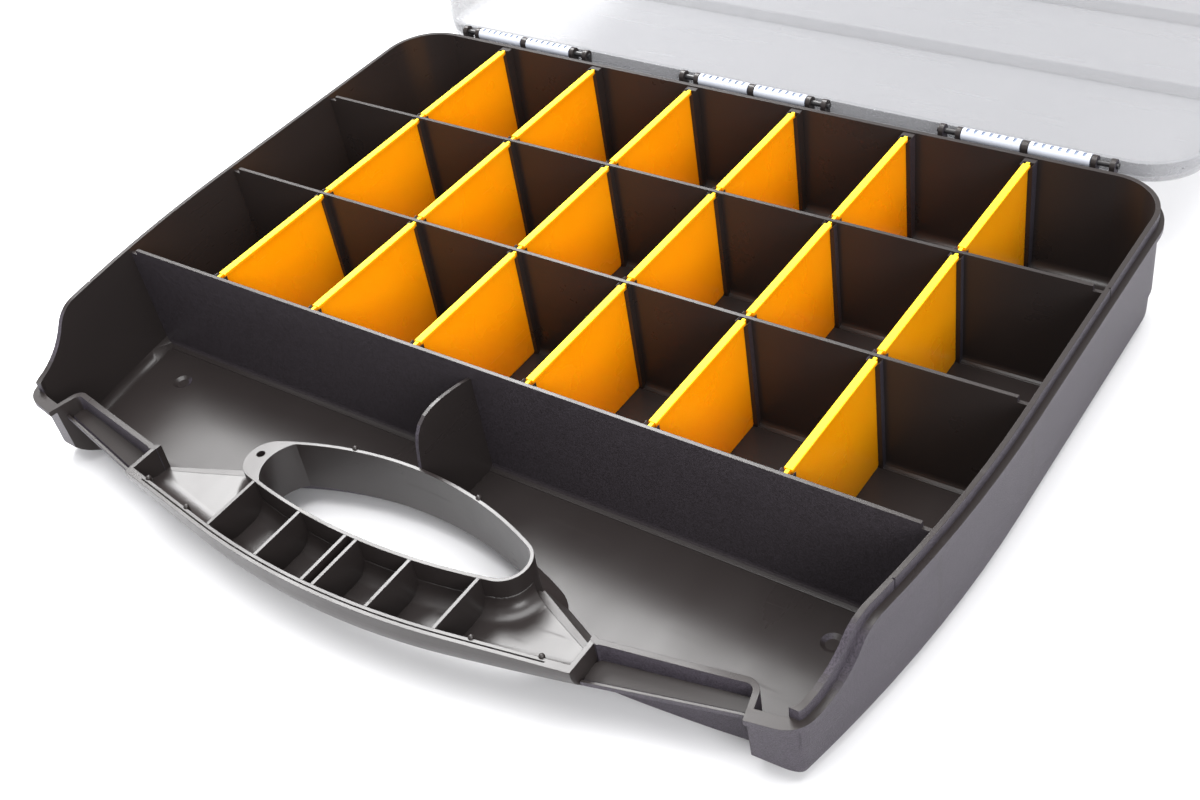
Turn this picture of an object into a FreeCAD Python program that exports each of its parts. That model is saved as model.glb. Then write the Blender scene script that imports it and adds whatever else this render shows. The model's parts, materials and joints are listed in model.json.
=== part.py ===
import FreeCAD, Part
import math
import os
import Sketcher

# Parts sorting tray: a black moulded tray with three rows of seven cells, eighteen lift-out dividers,
# half a carry handle at the front, two latch recesses and a translucent lid on three hinge rows.
#
# Frame, in millimetres: X to the right, Y to the back, Z up. The origin is on the surface that the
# tray stands on, under the middle of its footprint. The lid is modelled closed and then swung open.

VECTOR = FreeCAD.Vector
X_AXIS = VECTOR(1, 0, 0)
Z_AXIS = VECTOR(0, 0, 1)

DIMENSIONS = {
    # Outer outline at the lid ledge.
    "half_width": 229.3,
    "rear_depth": 183.2,
    "rear_corner_radius": 31.0,
    "side_bow_radius": 700.0,
    "side_bow_start": 10.0,
    "front_slope": 9.97,
    "front_corner_reach": 190.0,
    "front_corner_depth": 153.8,
    "front_corner_radius": 13.0,
    "front_bow_radius": 400.0,
    "ledge_thickness": 2.6,
    "ledge_rear_inset": 3.0,
    "wall_top_inset": 2.6,
    "base_inset": 4.6,
    "base_rounding": 7.5,
    # Heights.
    "foot_height": 1.6,
    "floor_thickness": 2.5,
    "lip_top": 65.0,
    "lip_rise": 5.2,
    "front_drop": 21.0,
    # Side profile, where the rim drops to the front.
    "drop_start": 105.0,
    "drop_angle": 55.0,
    "drop_upper_radius": 16.0,
    "ledge_lead": 3.0,
    # Lip and inner walls.
    "lip_inset": 3.0,
    "wall_inset": 5.2,
    "floor_inset": 7.1,
    "floor_rounding": 4.5,
    "lip_front_end": 144.5,
    "lip_break_width": 0.7,
    "lip_break_rear": 97.0,
    "lip_break_front": 91.0,
    # Front underside.
    "nose_radius": 26.0,
    "nose_centre_depth": 128.0,
    # Cells and dividers.
    "cell_pitch": 63.0,
    "partition_rear": 96.5,
    "partition_middle": 17.5,
    "partition_front": 61.5,
    "partition_thickness": 1.8,
    "partition_step": 2.5,
    "partition_step_length": 5.0,
    "partition_root": 3.0,
    "guide_depth": 3.0,
    "guide_width": 2.2,
    "guide_gap": 1.9,
    "guide_lead": 2.4,
    "rear_guide_base": 3.2,
    "divider_length": 76.6,
    "divider_flange_length": 71.8,
    "divider_flange_width": 3.9,
    "divider_flange_depth": 1.6,
    "divider_thickness": 1.6,
    "divider_floor_gap": 0.4,
    "divider_corner": 3.4,
    # Latch recesses.
    "recess_inner": 123.4,
    "recess_outer": 186.6,
    "recess_back_inner": 149.2,
    "recess_back_outer": 138.1,
    "recess_wall": 2.6,
    "recess_flare": 12.9,
    "recess_corner": 3.5,
    "shelf_reach_inner": 12.4,
    "shelf_reach_outer": 9.0,
    "shelf_top_inner": 30.2,
    "shelf_top_outer": 32.0,
    "shelf_depth": 8.0,
    # Finger opening, a lens with round ends.
    "lens_rear": 103.5,
    "lens_front": 149.6,
    "lens_rear_radius": 175.0,
    "lens_front_radius": 311.0,
    "lens_end_radius": 12.5,
    "lens_wall": 1.6,
    "land_reach": 67.2,
    "land_round": 17.0,
    "land_thickness": 2.5,
    "tag_hole_radius": 2.0,
    "tag_hole_reach": 72.6,
    "opening_bottom_rear": 10.9,
    # Handle trough.
    "handle_half_length": 123.4,
    "handle_end": 78.0,
    "handle_end_depth": 128.7,
    "handle_bottom": 17.5,
    "handle_bottom_end": 23.0,
    "handle_front_rounding": 15.0,
    "handle_back_rounding": 9.0,
    "trough_front_rounding": 12.7,
    "trough_back_rounding": 7.5,
    "handle_front_wall": 3.8,
    "handle_wall": 2.2,
    "handle_skin": 2.3,
    "ridge_slope_reach": 13.0,
    "rib_thickness": 1.6,
    "peg_radius": 1.3,
    "peg_height": 2.6,
    # Hinge.
    "hinge_y": 187.0,
    "hinge_z": 64.0,
    "hinge_spacing": 151.0,
    "knuckle_radius": 3.2,
    "knuckle_width": 2.6,
    "knuckle_inner": 34.0,
    "knuckle_outer": 43.0,
    "centre_knuckle_width": 3.4,
    "pin_radius": 1.5,
    "pin_length": 91.0,
    "barrel_bore_radius": 1.58,
    "barrel_gap": 0.4,
    "barrel_notch_depth": 0.7,
    "barrel_notch_width": 1.5,
    "barrel_notch_count": 7,
    # Lid.
    "lid_top": 74.5,
    "lid_skin": 2.0,
    "lid_wall": 2.4,
    "lid_gap": 0.3,
    "lid_draft": 1.2,
    "lid_rounding": 4.0,
    "lid_nose_start": 118.0,
    "lid_nose_radius": 85.0,
    "lid_relief_start": 162.0,
    "lid_relief_top": 63.2,
    "lid_rib_thickness": 1.4,
    "lid_rib_gap": 0.6,
    "lid_open_angle": 183.0,
    # Latches.
    "latch_width": 50.0,
    "latch_thickness": 2.4,
    "latch_pivot_reach": 4.6,
    "latch_pivot_height": 57.0,
    "latch_barrel_radius": 3.2,
    "latch_pin_radius": 1.25,
    "latch_bore_radius": 1.32,
    "latch_ear_thickness": 3.0,
    "latch_open_angle": 105.0,
}

ROWS = {
    "rear": 136.1,
    "middle": 57.0,
    "front": -22.0,
}


# ---------------------------------------------------------------------------------------------
# Document and small helpers


def make_sheet(document):
    """The driving dimensions, one cell each, with the dimension's name as its alias."""
    sheet = document.addObject("Spreadsheet::Sheet", "Dimensions")
    for row, (name, number) in enumerate(DIMENSIONS.items(), start=1):
        sheet.set("A%d" % row, name)
        sheet.set("B%d" % row, str(number))
        sheet.setAlias("B%d" % row, name)
    document.recompute()
    return sheet


def value(name):
    return float(SHEET.get(name))


def bind(thing, **expressions):
    """Bind each property of a document object to an expression over the sheet's cells."""
    for name, expression in expressions.items():
        thing.setExpression(name.replace("__", "."), expression)


def feature(name, shape, placement=None):
    """A sub-part whose outline is a blend of arcs that no primitive gives."""
    made = DOCUMENT.addObject("Part::Feature", name)
    made.Label = name
    made.Shape = shape
    if placement is not None:
        made.Placement = placement
    return made


def point(place, z=0.0):
    return VECTOR(place[0], place[1], z)


def line(start, end):
    return Part.makeLine(point(start), point(end))


def arc(start, middle, end):
    return Part.Arc(point(start), point(middle), point(end)).toShape()


def on_circle(centre, radius, angle):
    return (centre[0] + radius * math.cos(angle), centre[1] + radius * math.sin(angle))


def mirrored(place):
    return (-place[0], place[1])


def polygon_face(places):
    closed = [point(place) for place in places] + [point(places[0])]
    return Part.Face(Part.makePolygon(closed))


def prism(face, bottom, top):
    """A face in the XY plane, or a closed wire, raised from one height to another."""
    if face.ShapeType == "Wire":
        face = Part.Face(face)
    raised = face.copy()
    raised.translate(VECTOR(0, 0, bottom))
    return raised.extrude(VECTOR(0, 0, top - bottom))


def tapered(lower, bottom, upper, top):
    """The solid between two closed outlines at two heights."""
    low = lower.copy()
    low.translate(VECTOR(0, 0, bottom))
    high = upper.copy()
    high.translate(VECTOR(0, 0, top))
    return Part.makeLoft([low, high], True, True)


def edges_at_height(shape, height):
    tolerance = 1e-3
    found = []
    for edge in shape.Edges:
        box = edge.BoundBox
        if abs(box.ZMin - height) < tolerance and abs(box.ZMax - height) < tolerance:
            found.append(edge)
    return found


def box(x_min, x_max, y_min, y_max, z_min, z_max):
    return Part.makeBox(x_max - x_min, y_max - y_min, z_max - z_min, VECTOR(x_min, y_min, z_min))


def across(outline, half_length):
    """A closed outline of (y, z) points or edges, extruded along X about the middle plane."""
    face = Part.Face(outline)
    face.translate(VECTOR(-half_length, 0, 0))
    return face.extrude(VECTOR(2 * half_length, 0, 0))


def yz(y, z):
    return VECTOR(0, y, z)


# ---------------------------------------------------------------------------------------------
# Outlines in plan


def outline(inset, rear_inset=None):
    """The rounded outline in plan, moved inwards by inset, or by its own amount at the rear."""
    if rear_inset is None:
        rear_inset = inset
    half = value("half_width")
    rear = value("rear_depth")
    corner = value("rear_corner_radius")
    bow = value("side_bow_radius")
    start = value("side_bow_start")
    slope = math.radians(value("front_slope"))
    nose = value("front_corner_radius")
    middle = value("front_bow_radius")
    reach = (value("front_corner_reach"), -value("front_corner_depth"))
    outward = (math.sin(slope), -math.cos(slope))
    along = (math.cos(slope), math.sin(slope))

    rear_centre = (half - corner, rear - rear_inset - (corner - inset))
    side_centre = (half - bow, start)
    base = (reach[0] - outward[0] * nose, reach[1] - outward[1] * nose)
    gap = (base[0] - side_centre[0], base[1] - side_centre[1])
    linear = gap[0] * along[0] + gap[1] * along[1]
    constant = gap[0] ** 2 + gap[1] ** 2 - (bow - nose) ** 2
    shift = -linear + math.sqrt(linear ** 2 - constant)
    nose_centre = (base[0] + shift * along[0], base[1] + shift * along[1])
    front_centre = (0.0, (middle - reach[0] * outward[0]) / -outward[1] + reach[1])
    side_end = math.atan2(nose_centre[1] - side_centre[1], nose_centre[0] - side_centre[0])
    front_end = math.atan2(outward[1], outward[0])

    rear_tip = (rear_centre[0], rear - rear_inset)
    rear_bend = on_circle(rear_centre, corner - inset, math.pi / 4)
    side_tip = (half - inset, rear_centre[1])
    side_start = (half - inset, start)
    side_bend = on_circle(side_centre, bow - inset, side_end / 2)
    side_stop = on_circle(side_centre, bow - inset, side_end)
    nose_bend = on_circle(nose_centre, nose - inset, (side_end + front_end) / 2)
    nose_stop = on_circle(nose_centre, nose - inset, front_end)
    front_stop = on_circle(front_centre, middle - inset, front_end)
    front_tip = (0.0, front_centre[1] - (middle - inset))
    return Part.Wire([
        line(mirrored(rear_tip), rear_tip),
        arc(rear_tip, rear_bend, side_tip),
        line(side_tip, side_start),
        arc(side_start, side_bend, side_stop),
        arc(side_stop, nose_bend, nose_stop),
        line(nose_stop, front_stop),
        arc(front_stop, front_tip, mirrored(front_stop)),
        line(mirrored(front_stop), mirrored(nose_stop)),
        arc(mirrored(nose_stop), mirrored(nose_bend), mirrored(side_stop)),
        arc(mirrored(side_stop), mirrored(side_bend), mirrored(side_start)),
        line(mirrored(side_start), mirrored(side_tip)),
        arc(mirrored(side_tip), mirrored(rear_bend), mirrored(rear_tip)),
    ])


def lens(inset):
    """The finger opening's outline: two shallow arcs joined by round ends."""
    rear_radius = value("lens_rear_radius")
    front_radius = value("lens_front_radius")
    end_radius = value("lens_end_radius")
    rear_centre = -value("lens_rear") - rear_radius
    front_centre = -value("lens_front") + front_radius
    rear_reach = rear_radius - end_radius
    front_reach = front_radius - end_radius
    end_y = rear_reach ** 2 - front_reach ** 2 - rear_centre ** 2 + front_centre ** 2
    end_y = end_y / (2 * (front_centre - rear_centre))
    end_x = math.sqrt(rear_reach ** 2 - (end_y - rear_centre) ** 2)
    end_centre = (end_x, end_y)
    rear_angle = math.atan2(end_y - rear_centre, end_x)
    front_angle = math.atan2(end_y - front_centre, end_x)
    small = end_radius - inset
    rear_stop = on_circle(end_centre, small, rear_angle)
    end_tip = on_circle(end_centre, small, (rear_angle + front_angle) / 2)
    front_stop = on_circle(end_centre, small, front_angle)
    rear_tip = (0.0, -value("lens_rear") - inset)
    front_tip = (0.0, -value("lens_front") + inset)
    return Part.Wire([
        arc(mirrored(rear_stop), rear_tip, rear_stop),
        arc(rear_stop, end_tip, front_stop),
        arc(front_stop, front_tip, mirrored(front_stop)),
        arc(mirrored(front_stop), mirrored(end_tip), mirrored(rear_stop)),
    ])


def finger_hole(extra=0.0):
    """The hole through the handle, which stops short on the left to leave the flat land."""
    wide = 100.0
    reach = value("land_reach") + extra
    radius = value("land_round") + extra
    centre_x = radius - reach
    centre_y = -value("handle_end_depth")
    inner = Part.Face(lens(value("lens_wall") - extra))
    right = polygon_face([
        (centre_x, centre_y - wide), (wide, centre_y - wide),
        (wide, centre_y + wide), (centre_x, centre_y + wide),
    ])
    disc = Part.Face(Part.Wire(Part.makeCircle(radius, point((centre_x, centre_y)), Z_AXIS)))
    return inner.common(right.fuse(disc).removeSplitter())


def rounded_polygon(places, radii):
    """A closed polygon in plan whose corners are rounded by the given radii, none where it is 0."""
    edges = []
    count = len(places)
    stops = []
    for index, corner in enumerate(places):
        before = point(places[index - 1]) - point(corner)
        after = point(places[(index + 1) % count]) - point(corner)
        radius = radii[index]
        if radius == 0:
            stops.append((point(corner), point(corner)))
            continue
        half_angle = before.getAngle(after) / 2
        reach = radius / math.tan(half_angle)
        before.normalize()
        after.normalize()
        inward = (before + after).normalize()
        centre = point(corner) + inward * (radius / math.sin(half_angle))
        start = point(corner) + before * reach
        stop = point(corner) + after * reach
        edges.append(Part.Arc(start, centre - inward * radius, stop).toShape())
        stops.append((start, stop))
    for index in range(count):
        edges.append(Part.makeLine(stops[index - 1][1], stops[index][0]))
    return Part.Wire(Part.__sortEdges__(edges))


def recess_plan(side, grow=0.0):
    """Plan of a latch recess, with rounded inner corners, grown by a wall's thickness or not at all."""
    flare = value("recess_flare")
    right = [
        (value("recess_inner"), -value("recess_back_outer") - 4 * flare),
        (value("recess_inner"), -value("recess_back_inner")),
        (value("recess_outer"), -value("recess_back_outer")),
        (value("recess_outer") + flare, -value("recess_back_outer") - 4 * flare),
    ]
    corner = value("recess_corner")
    plan = rounded_polygon([(side * place[0], place[1]) for place in right], [0, corner, corner, 0])
    if grow > 0:
        plan = plan.makeOffset2D(grow)
    return plan


def both_recesses(grow=0.0, bottom=-1.0, top=120.0):
    left = prism(recess_plan(-1, grow), bottom, top)
    return left.fuse(prism(recess_plan(1, grow), bottom, top))


def tub_region():
    """Plan of the deep part of the tray: everything that isn't the handle."""
    far = 300.0
    front = -value("recess_back_outer") - 4 * value("recess_flare")
    between = (value("recess_inner") + value("recess_outer")) / 2
    right = [
        (far, front), (between, front), (between, -value("recess_back_inner") - 10.0),
        (value("recess_inner"), -value("recess_back_inner")),
        (value("handle_end"), -value("handle_end_depth")),
    ]
    left = [mirrored(place) for place in reversed(right)]
    places = [(-far, far), (far, far)] + right + left + [(-far, far)]
    return Part.makePolygon([point(place) for place in places])


# ---------------------------------------------------------------------------------------------
# Side profile of the rim


def rim_profile(height, lead, reach=320.0, floor=-60.0):
    """Everything below the rim line: level at the back, dropping in a double bend to the front."""
    start = -value("drop_start") + lead
    angle = math.radians(value("drop_angle"))
    upper = value("drop_upper_radius")
    upper_fall = upper * (1 - math.cos(angle))
    lower = (value("front_drop") - upper_fall) / (1 - math.cos(angle))
    upper_centre = (start, height - upper)
    bend = (start - upper * math.sin(angle), height - upper_fall)
    lower_centre = (bend[0] - lower * math.sin(angle), height - value("front_drop") + lower)
    across_half = math.sin(angle / 2)
    up_half = math.cos(angle / 2)
    upper_middle = (upper_centre[0] - upper * across_half, upper_centre[1] + upper * up_half)
    lower_middle = (lower_centre[0] + lower * across_half, lower_centre[1] - lower * up_half)
    stop = (lower_centre[0], height - value("front_drop"))
    edges = [
        Part.makeLine(yz(reach, height), yz(start, height)),
        Part.Arc(yz(start, height), yz(*upper_middle), yz(*bend)).toShape(),
        Part.Arc(yz(*bend), yz(*lower_middle), yz(*stop)).toShape(),
        Part.makeLine(yz(*stop), yz(-reach, stop[1])),
        Part.makeLine(yz(-reach, stop[1]), yz(-reach, floor)),
        Part.makeLine(yz(-reach, floor), yz(reach, floor)),
        Part.makeLine(yz(reach, floor), yz(reach, height)),
    ]
    return across(Part.Wire(edges), reach)


def below_ledge():
    return rim_profile(value("lip_top") - value("lip_rise"), value("ledge_lead"))


def below_lip():
    return rim_profile(value("lip_top"), 0.0)


def under_nose(shrink):
    """The space under the rounded front underside, grown by shrink into the wall."""
    radius = value("nose_radius") - shrink
    centre_y = -value("nose_centre_depth")
    centre_z = value("foot_height") + value("nose_radius")
    bottom = centre_z - radius
    far = 90.0
    slant = math.sqrt(0.5) * radius
    edges = [
        Part.Arc(
            yz(centre_y, bottom), yz(centre_y - slant, centre_z - slant), yz(centre_y - radius, centre_z)
        ).toShape(),
        Part.makeLine(yz(centre_y - radius, centre_z), yz(centre_y - far, centre_z)),
        Part.makeLine(yz(centre_y - far, centre_z), yz(centre_y - far, bottom - far)),
        Part.makeLine(yz(centre_y - far, bottom - far), yz(centre_y, bottom - far)),
        Part.makeLine(yz(centre_y, bottom - far), yz(centre_y, bottom)),
    ]
    return across(Part.Wire(edges), 300.0)


# ---------------------------------------------------------------------------------------------
# Tray


def opening_ramp(rise):
    """A cone about the finger opening that lifts the floor to the opening's lower edge."""
    base = value("foot_height") + (value("floor_thickness") if rise else 0.0)
    top = value("opening_bottom_rear") - value("lens_wall") + rise
    return tapered(lens(-(top - base)), base, lens(0.0), top)


def tray_space():
    """The room inside the tub, from the floor to above the lip."""
    bottom = value("foot_height") + value("floor_thickness")
    above = value("lip_top") + 1.0
    room = tapered(outline(value("floor_inset")), bottom, outline(value("wall_inset")), above)
    room = room.makeFillet(value("floor_rounding"), edges_at_height(room, bottom))
    inner = tub_region().makeOffset2D(-value("recess_wall"))
    room = room.common(prism(inner, bottom - 1.0, above + 1.0))
    room = room.cut(both_recesses(value("recess_wall")))
    room = room.cut(prism(lens(0.0), 0.0, above + 1.0))
    room = room.cut(under_nose(value("floor_thickness")))
    ramp_rise = value("floor_thickness") * math.sqrt(2.0)
    return room.cut(opening_ramp(ramp_rise))


def foot_places():
    """Four corner feet and one under the middle, where the moulding is fed."""
    return [(187.0, -83.0), (-187.0, -83.0), (187.0, 150.0), (-187.0, 150.0), (0.0, 0.0)]


def outer_body():
    """The outside of the tub: drafted walls on a rounded bottom, its front swept up under the nose."""
    bottom = value("foot_height")
    ledge = value("lip_top") - value("lip_rise")
    top = outline(value("wall_top_inset"), value("ledge_rear_inset"))
    body = tapered(outline(value("base_inset")), bottom, top, ledge)
    body = body.makeFillet(value("base_rounding"), edges_at_height(body, bottom))
    return body.cut(under_nose(0.0))


def ledge_band():
    """The ledge that the lid's edge sits on, which stands out past the wall below it."""
    height = value("lip_top") - value("lip_rise")
    band = prism(outline(0.0, value("ledge_rear_inset")), 10.0, height)
    band = band.common(below_ledge())
    return band.cut(rim_profile(height - value("ledge_thickness"), value("ledge_lead")))


def tray_shell(room):
    """Floor and outer walls of the tray, with the ledge, the lip and the recess walls."""
    bottom = value("foot_height")
    outside = outer_body()
    recesses = both_recesses()
    body = outside.common(below_ledge())
    lip = prism(outline(value("lip_inset")), bottom + 20.0, value("lip_top")).common(below_lip())
    lip = lip.cut(prism(outline(value("wall_inset") + 3.0), 0.0, 100.0))
    lip = lip.common(box(-300, 300, -value("lip_front_end"), 300, 0, 100))
    shell = body.multiFuse([ledge_band(), lip])
    shell = shell.common(prism(tub_region(), 0.0, 100.0))
    shell = shell.cut(recesses)
    shell = shell.cut(prism(lens(0.0), -1.0, 100.0))
    shell = shell.cut(opening_ramp(0.0))
    shell = shell.cut(room)
    for side in (-1, 1):
        shell = shell.fuse(ridge_slope(side).common(outside).cut(recesses))
        shell = shell.cut(ridge_space(side))
        shell = shell.cut(lip_breaks(side))
    for place in foot_places():
        shell = shell.fuse(Part.makeCylinder(10.0, bottom + 0.5, point(place)))
        shell = shell.cut(Part.makeCone(3.0, 5.0, 1.2, point(place, bottom + value("floor_thickness") - 1.2)))
    return shell.removeSplitter()


def ridge_space(side):
    """Where the slanting wall beside the handle stops low, so that the trough opens to the cell."""
    near = value("handle_end") - value("lens_end_radius")
    far = value("handle_half_length") - value("recess_wall")
    rear = -value("lens_rear") - 8.0
    front = -value("recess_back_inner") - 10.0
    places = [(near, rear), (far, rear), (far, front), (near, front)]
    face = polygon_face([(side * place[0], place[1]) for place in places])
    skin = value("handle_skin")
    space = prism(face, 0.0, 100.0)
    space = space.common(arch(value("handle_bottom") + skin, value("handle_bottom_end") + skin))
    return space.cut(prism(lens(0.0), 0.0, 100.0))


def ridge_slope(side):
    """The slope from the top of that low wall down to the floor of the tub."""
    start = (side * value("handle_end"), -value("handle_end_depth"))
    stop = (side * value("recess_inner"), -value("recess_back_inner"))
    along = point(stop) - point(start)
    low = value("foot_height") + 1.0
    top = value("handle_bottom_end") + value("handle_skin") + 3.0
    across_it = Z_AXIS.cross(along).normalize()
    if across_it.y < 0:
        across_it = across_it * -1.0
    reach = value("ridge_slope_reach")
    corners = [
        point(start, low),
        point(start, top),
        point(start, top) + across_it,
        point(start, low) + across_it * reach,
    ]
    face = Part.Face(Part.makePolygon(corners + corners[:1]))
    slope = face.extrude(along)
    return slope.cut(prism(lens(0.0), 0.0, 100.0))


def lip_breaks(side):
    """Two fine cuts across the lip, where it was moulded in lengths."""
    width = value("lip_break_width")
    ledge = value("lip_top") - value("lip_rise")
    depth = 1.0
    cuts = []
    for middle in (value("lip_break_rear"), -value("lip_break_front")):
        reach = value("half_width") - value("lip_inset")
        if middle < 0:
            reach = reach - (middle - value("side_bow_start")) ** 2 / (2 * value("side_bow_radius"))
        low, high = sorted((side * (reach - depth), side * (reach + 1.0)))
        cuts.append(box(low, high, middle - width / 2, middle + width / 2, ledge, ledge + 10.0))
    return Part.makeCompound(cuts)


def peg(place, top):
    post = Part.makeCylinder(value("peg_radius"), value("peg_height") + 6.0, point(place, top - 6.0))
    return post.fuse(Part.makeSphere(value("peg_radius"), point(place, top + value("peg_height"))))



# ---------------------------------------------------------------------------------------------
# Handle


def arch(bottom, bottom_end):
    """Everything above a shallow arch across the handle's length."""
    half = value("handle_half_length")
    far = 60.0
    top = 120.0
    edges = [
        Part.Arc(VECTOR(-half, 0, bottom_end), VECTOR(0, 0, bottom), VECTOR(half, 0, bottom_end)).toShape(),
        Part.makeLine(VECTOR(half, 0, bottom_end), VECTOR(half, 0, top)),
        Part.makeLine(VECTOR(half, 0, top), VECTOR(-half, 0, top)),
        Part.makeLine(VECTOR(-half, 0, top), VECTOR(-half, 0, bottom_end)),
    ]
    face = Part.Face(Part.Wire(edges))
    face.translate(VECTOR(0, -200.0 - far, 0))
    return face.extrude(VECTOR(0, 2 * far + 120.0, 0))


def handle_region(front_inset, end_inset, back):
    """Plan of the handle: in front of the tub and the opening, between the two recesses."""
    half = value("handle_half_length") - end_inset
    corner = -value("recess_back_inner") + back
    end = (value("handle_end"), -value("handle_end_depth") + back)
    places = [(half, corner), end, mirrored(end), (-half, corner), (-half, -220.0), (half, -220.0)]
    region = polygon_face(places).common(Part.Face(outline(front_inset)))
    for side in (-1, 1):
        region = region.cut(Part.Face(recess_plan(side, end_inset)))
    return region.cut(Part.Face(lens(0.0)))


def round_underside(solid, front_radius, back_radius):
    """Round the long edges along the bottom of the handle, in front and at the finger opening."""
    highest = value("handle_bottom_end") + value("handle_skin") + 1.0
    front = [
        edge for edge in solid.Edges
        if edge.BoundBox.ZMax < highest and edge.BoundBox.XLength > 20.0 and edge.BoundBox.YMax < -156.0
    ]
    solid = solid.makeFillet(front_radius, front)
    back = [
        edge for edge in solid.Edges
        if edge.BoundBox.ZMax < highest and abs(edge.CenterOfMass.x) < 10.0 and edge.BoundBox.YMax > -146.0
    ]
    return solid.makeFillet(back_radius, back)


def handle_space():
    """The room inside the trough."""
    skin = value("handle_skin")
    region = handle_region(value("handle_front_wall"), value("handle_wall"), 4.0)
    rim = value("lip_top") - value("lip_rise") - value("front_drop")
    room = prism(region, 5.0, rim + 2.0)
    room = room.common(arch(value("handle_bottom") + skin, value("handle_bottom_end") + skin))
    room = room.removeSplitter()
    return round_underside(room, value("trough_front_rounding"), value("trough_back_rounding"))


def handle_shell(room):
    """The hollow lower half of the carry handle."""
    rim = value("lip_top") - value("lip_rise") - value("front_drop")
    body = prism(handle_region(0.0, 0.0, 0.0), 5.0, rim)
    body = body.common(arch(value("handle_bottom"), value("handle_bottom_end")))
    body = body.removeSplitter()
    body = round_underside(body, value("handle_front_rounding"), value("handle_back_rounding"))
    body = body.cut(room)
    groove = Part.Face(outline(1.7)).cut(Part.Face(outline(2.3)))
    groove = groove.common(polygon_face([(-112, -120), (112, -120), (112, -220), (-112, -220)]))
    body = body.cut(prism(groove, rim - 0.8, rim + 1.0))
    for place in front_peg_places():
        body = body.fuse(peg(place, rim - value("peg_height")))
    return body.removeSplitter()


def front_peg_places():
    """Locating pegs against the inside of the handle's front wall."""
    slope = math.tan(math.radians(value("front_slope")))
    inset = value("handle_front_wall") + 0.6
    places = []
    for x in (-109.4, -79.4, 79.4, 109.4):
        front = -value("front_corner_depth") - (value("front_corner_reach") - abs(x)) * slope
        places.append((x, front + inset))
    return places


def rear_pegs():
    """Locating pegs behind the finger opening, standing against its wall."""
    top = value("lip_top") - value("lip_rise") - value("front_drop")
    reach = 35.0
    drop = reach ** 2 / (2 * value("lens_rear_radius"))
    depth = -value("lens_rear") - drop + 0.4
    return [peg((-reach, depth), top - value("peg_height")), peg((reach, depth), top - value("peg_height"))]


def opening_frame():
    """The wall round the finger opening, with the flat land and its tag hole at the left."""
    rim = value("lip_top") - value("lip_rise") - value("front_drop")
    frame = prism(Part.Face(lens(0.0)), 0.0, rim).cut(prism(finger_hole(), -1.0, rim + 1.0))
    pocket = Part.Face(lens(value("lens_wall"))).cut(finger_hole(value("lens_wall")))
    frame = frame.cut(prism(pocket, -1.0, rim - value("land_thickness")))
    rear = -value("lens_rear") + 1.0
    front = -value("lens_front") - 1.0
    low = Part.makePolygon([
        yz(rear, value("opening_bottom_rear")), yz(front, value("handle_bottom")),
        yz(front, -30.0), yz(rear, -30.0), yz(rear, value("opening_bottom_rear")),
    ])
    frame = frame.cut(across(low, 200.0))
    hole = Part.makeCylinder(value("tag_hole_radius"), 20.0,
                             VECTOR(-value("tag_hole_reach"), -value("handle_end_depth"), rim - 10.0))
    frame = frame.cut(hole)
    for post in rear_pegs():
        frame = frame.fuse(post)
    return frame.removeSplitter()


# ---------------------------------------------------------------------------------------------
# Latch shelves and the latch's own frame


def recess_frame(side):
    """Placement whose X runs along the recess's back wall, Y out of it to the back, Z up."""
    inner = (side * value("recess_inner"), -value("recess_back_inner"))
    outer = (side * value("recess_outer"), -value("recess_back_outer"))
    middle = VECTOR((inner[0] + outer[0]) / 2, (inner[1] + outer[1]) / 2, 0)
    slope = math.degrees(math.atan2(outer[1] - inner[1], outer[0] - inner[0]))
    if side < 0:
        slope = slope - 180.0
    return FreeCAD.Placement(middle, FreeCAD.Rotation(Z_AXIS, slope))


def catch_frame(side):
    """Placement whose X runs along the front edge of the catch shelf, where the latch closes."""
    length = value("recess_outer") - value("recess_inner")
    inner = value("shelf_reach_inner")
    outer = value("shelf_reach_outer")
    turn = side * math.degrees(math.atan2(inner - outer, length))
    local = FreeCAD.Placement(VECTOR(0, -(inner + outer) / 2, 0), FreeCAD.Rotation(Z_AXIS, turn))
    return recess_frame(side).multiply(local)


def shelf_section(x, reach, top):
    """The shelf's outline across its length, with the catch standing up at its front edge."""
    bottom = top - value("shelf_depth")
    section = [
        (-4.0, bottom), (-4.0, top), (reach - 3.0, top - 2.2), (reach - 2.4, top - 3.2),
        (reach - 1.4, top - 3.2), (reach - 1.2, top), (reach, top), (reach, top - 2.0),
        (reach - 5.6, bottom),
    ]
    closed = section + section[:1]
    return Part.makePolygon([VECTOR(x, -y, z) for y, z in closed])


def catch_shelf(side):
    """The shelf in a latch recess, with the raised catch along its front edge."""
    half = (value("recess_outer") - value("recess_inner")) / 2 + 2.0
    inner = shelf_section(-side * half, value("shelf_reach_inner"), value("shelf_top_inner"))
    outer = shelf_section(side * half, value("shelf_reach_outer"), value("shelf_top_outer"))
    shelf = Part.makeLoft([inner, outer], True, True)
    shelf.Placement = recess_frame(side)
    return shelf.common(prism(recess_plan(side), 0.0, 60.0))


# ---------------------------------------------------------------------------------------------
# Partitions and dividers


def new_body(name):
    body = DOCUMENT.addObject("PartDesign::Body", name)
    body.Label = name
    return body


def body_sketch(body, name, role, loops):
    """A sketch on one of the body's own origin planes, made of closed loops of straight lines."""
    plane = [item for item in body.Origin.OriginFeatures if item.Role == role][0]
    sketch = body.newObject("Sketcher::SketchObject", name)
    sketch.AttachmentSupport = [(plane, "")]
    sketch.MapMode = "FlatFace"
    for loop in loops:
        first = sketch.GeometryCount
        count = len(loop)
        for index, start in enumerate(loop):
            end = loop[(index + 1) % count]
            sketch.addGeometry(Part.LineSegment(point(start), point(end)), False)
        for index in range(count):
            following = first + (index + 1) % count
            sketch.addConstraint(Sketcher.Constraint("Coincident", first + index, 2, following, 1))
            sketch.addConstraint(Sketcher.Constraint("Block", first + index))
    return sketch


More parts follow.
